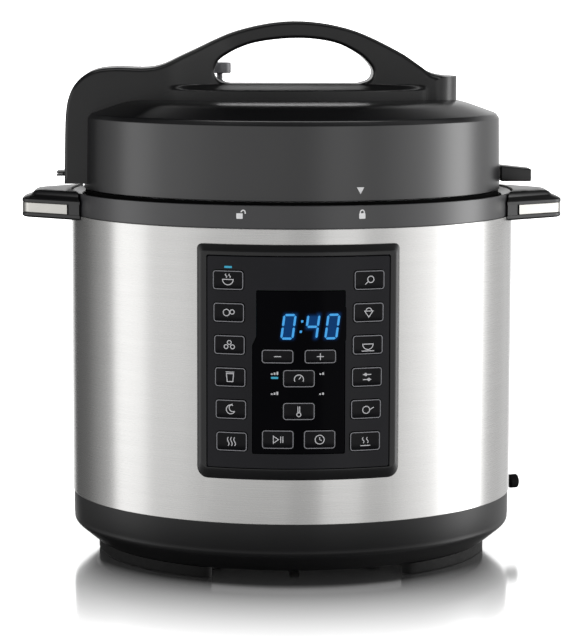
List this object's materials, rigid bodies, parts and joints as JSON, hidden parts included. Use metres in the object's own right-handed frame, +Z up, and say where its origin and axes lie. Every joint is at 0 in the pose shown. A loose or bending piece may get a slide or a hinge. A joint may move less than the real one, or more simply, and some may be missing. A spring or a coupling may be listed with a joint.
{
  "type": "electric pressure cooker",
  "caption": "Countertop electric pressure cooker with a bayonet lid, arched lid handle, side handles and a front key panel with a numeric display.",
  "frame": {"origin": "on the floor plane under the feet, on the vertical axis of the round body", "axes": "+Z up, -Y out of the control panel, +X to the viewer's right when facing the panel"},
  "size_m": [0.3344, 0.2767, 0.3282],
  "materials": {
    "black_plastic": "satin black moulding",
    "grey_plastic": "satin dark grey moulding",
    "gloss_black": "glossy black window",
    "key_plastic": "glossy black keys with a thin light outline",
    "brushed_steel": "fine horizontal brushing",
    "steel": "plain stainless steel",
    "aluminium": "satin",
    "valve_plastic": "satin grey moulding",
    "rubber": "matte",
    "silicone": "translucent white silicone",
    "circuit_board": "lacquered board",
    "display": "blue numeric display",
    "clear_plastic": "smoked clear moulding"
  },
  "bodies": {
    "housing": {"base_housing": "black_plastic", "bottom_cover": "black_plastic", "foot_left": "rubber", "foot_right": "rubber", "foot_back": "rubber", "steel_wrap": "brushed_steel", "top_ring": "grey_plastic", "side_handle_left": "black_plastic", "side_handle_right": "black_plastic", "handle_trim_left": "brushed_steel", "handle_trim_right": "brushed_steel", "inner_housing": "aluminium", "locking_collar": "steel", "heating_plate": "aluminium", "sensor_spring": "steel", "sensor_bracket": "steel", "control_bezel": "black_plastic", "display_window": "gloss_black", "display_module": "display", "switch_mat": "circuit_board", "control_board": "circuit_board", "power_board": "circuit_board", "cord_gland": "rubber", "collector_bracket": "black_plastic", "key_panel": "black_plastic"},
    "pot": {"cooking_pot": "aluminium"},
    "lid_lifter": {"sealing_ring": "silicone"},
    "lid": {"lid_cover": "grey_plastic", "lid_handle": "black_plastic", "lid_tab_left": "black_plastic", "lid_tab_right": "black_plastic", "handle_screw_left": "steel", "handle_screw_right": "steel", "inner_lid": "steel", "ring_rack": "steel", "steam_vent_pipe": "steel", "vent_shield": "steel"},
    "release_valve": {"steam_release_valve": "valve_plastic"},
    "float": {"float_valve": "steel", "float_seal": "silicone"},
    "sensor": {"temperature_sensor": "steel"},
    "collector": {"condensation_collector": "clear_plastic"},
    "key_left_1": {"key_left_1": "key_plastic"},
    "key_left_2": {"key_left_2": "key_plastic"},
    "key_left_3": {"key_left_3": "key_plastic"},
    "key_left_4": {"key_left_4": "key_plastic"},
    "key_left_5": {"key_left_5": "key_plastic"},
    "key_left_6": {"key_left_6": "key_plastic"},
    "key_right_1": {"key_right_1": "key_plastic"},
    "key_right_2": {"key_right_2": "key_plastic"},
    "key_right_3": {"key_right_3": "key_plastic"},
    "key_right_4": {"key_right_4": "key_plastic"},
    "key_right_5": {"key_right_5": "key_plastic"},
    "key_right_6": {"key_right_6": "key_plastic"},
    "key_minus": {"key_minus": "key_plastic"},
    "key_plus": {"key_plus": "key_plastic"},
    "key_pressure": {"key_pressure": "key_plastic"},
    "key_temperature": {"key_temperature": "key_plastic"},
    "key_start": {"key_start": "key_plastic"},
    "key_delay": {"key_delay": "key_plastic"}
  },
  "joints": [
    {"name": "lid_lift", "type": "slide", "parent": "housing", "child": "lid_lifter", "axis": [0, 0, 1], "range_m": [0, 0.22]},
    {"name": "lid_turn", "type": "hinge", "parent": "lid_lifter", "child": "lid", "pos_m": [0, 0, 0.2256], "axis": [0, 0, 1], "range_deg": [-30, 0]},
    {"name": "pot_lift", "type": "slide", "parent": "housing", "child": "pot", "axis": [0, 0, 1], "range_m": [0, 0.176]},
    {"name": "release_valve_lift", "type": "slide", "parent": "lid", "child": "release_valve", "axis": [0, 0, 1], "range_m": [0, 0.004]},
    {"name": "float_rise", "type": "slide", "parent": "lid", "child": "float", "axis": [0, 0, 1], "range_m": [0, 0.005]},
    {"name": "sensor_press", "type": "slide", "parent": "housing", "child": "sensor", "axis": [0, 0, 1], "range_m": [-0.002, 0], "stiffness_N_per_m": 400, "springref_m": 0.001, "deforming": ["sensor_spring"]},
    {"name": "collector_slide", "type": "slide", "parent": "housing", "child": "collector", "axis": [-0.6157, 0.788, 0], "range_m": [0, 0.03]},
    {"name": "key_left_1_press", "type": "slide", "parent": "housing", "child": "key_left_1", "axis": [0.294, 0.9558, 0], "range_m": [0, 0.0008], "stiffness_N_per_m": 500, "springref_m": -0.0004},
    {"name": "key_left_2_press", "type": "slide", "parent": "housing", "child": "key_left_2", "axis": [0.291, 0.9567, 0], "range_m": [0, 0.0008], "stiffness_N_per_m": 500, "springref_m": -0.0004},
    {"name": "key_left_3_press", "type": "slide", "parent": "housing", "child": "key_left_3", "axis": [0.288, 0.9576, 0], "range_m": [0, 0.0008], "stiffness_N_per_m": 500, "springref_m": -0.0004},
    {"name": "key_left_4_press", "type": "slide", "parent": "housing", "child": "key_left_4", "axis": [0.285, 0.9585, 0], "range_m": [0, 0.0008], "stiffness_N_per_m": 500, "springref_m": -0.0004},
    {"name": "key_left_5_press", "type": "slide", "parent": "housing", "child": "key_left_5", "axis": [0.282, 0.9594, 0], "range_m": [0, 0.0008], "stiffness_N_per_m": 500, "springref_m": -0.0004},
    {"name": "key_left_6_press", "type": "slide", "parent": "housing", "child": "key_left_6", "axis": [0.279, 0.9603, 0], "range_m": [0, 0.0008], "stiffness_N_per_m": 500, "springref_m": -0.0004},
    {"name": "key_right_1_press", "type": "slide", "parent": "housing", "child": "key_right_1", "axis": [-0.294, 0.9558, 0], "range_m": [0, 0.0008], "stiffness_N_per_m": 500, "springref_m": -0.0004},
    {"name": "key_right_2_press", "type": "slide", "parent": "housing", "child": "key_right_2", "axis": [-0.291, 0.9567, 0], "range_m": [0, 0.0008], "stiffness_N_per_m": 500, "springref_m": -0.0004},
    {"name": "key_right_3_press", "type": "slide", "parent": "housing", "child": "key_right_3", "axis": [-0.288, 0.9576, 0], "range_m": [0, 0.0008], "stiffness_N_per_m": 500, "springref_m": -0.0004},
    {"name": "key_right_4_press", "type": "slide", "parent": "housing", "child": "key_right_4", "axis": [-0.285, 0.9585, 0], "range_m": [0, 0.0008], "stiffness_N_per_m": 500, "springref_m": -0.0004},
    {"name": "key_right_5_press", "type": "slide", "parent": "housing", "child": "key_right_5", "axis": [-0.282, 0.9594, 0], "range_m": [0, 0.0008], "stiffness_N_per_m": 500, "springref_m": -0.0004},
    {"name": "key_right_6_press", "type": "slide", "parent": "housing", "child": "key_right_6", "axis": [-0.279, 0.9603, 0], "range_m": [0, 0.0008], "stiffness_N_per_m": 500, "springref_m": -0.0004},
    {"name": "key_minus_press", "type": "slide", "parent": "housing", "child": "key_minus", "axis": [0.0889, 0.996, 0], "range_m": [0, 0.0008], "stiffness_N_per_m": 500, "springref_m": -0.0004},
    {"name": "key_plus_press", "type": "slide", "parent": "housing", "child": "key_plus", "axis": [-0.0889, 0.996, 0], "range_m": [0, 0.0008], "stiffness_N_per_m": 500, "springref_m": -0.0004},
    {"name": "key_pressure_press", "type": "slide", "parent": "housing", "child": "key_pressure", "axis": [0, 1, 0], "range_m": [0, 0.0008], "stiffness_N_per_m": 500, "springref_m": -0.0004},
    {"name": "key_temperature_press", "type": "slide", "parent": "housing", "child": "key_temperature", "axis": [0, 1, 0], "range_m": [0, 0.0008], "stiffness_N_per_m": 500, "springref_m": -0.0004},
    {"name": "key_start_press", "type": "slide", "parent": "housing", "child": "key_start", "axis": [0.0872, 0.9962, 0], "range_m": [0, 0.0008], "stiffness_N_per_m": 500, "springref_m": -0.0004},
    {"name": "key_delay_press", "type": "slide", "parent": "housing", "child": "key_delay", "axis": [-0.0872, 0.9962, 0], "range_m": [0, 0.0008], "stiffness_N_per_m": 500, "springref_m": -0.0004}
  ],
  "couplings": [
    {"joint": "pot_lift", "follows": "lid_lift", "ratio": 0.8}
  ]
}
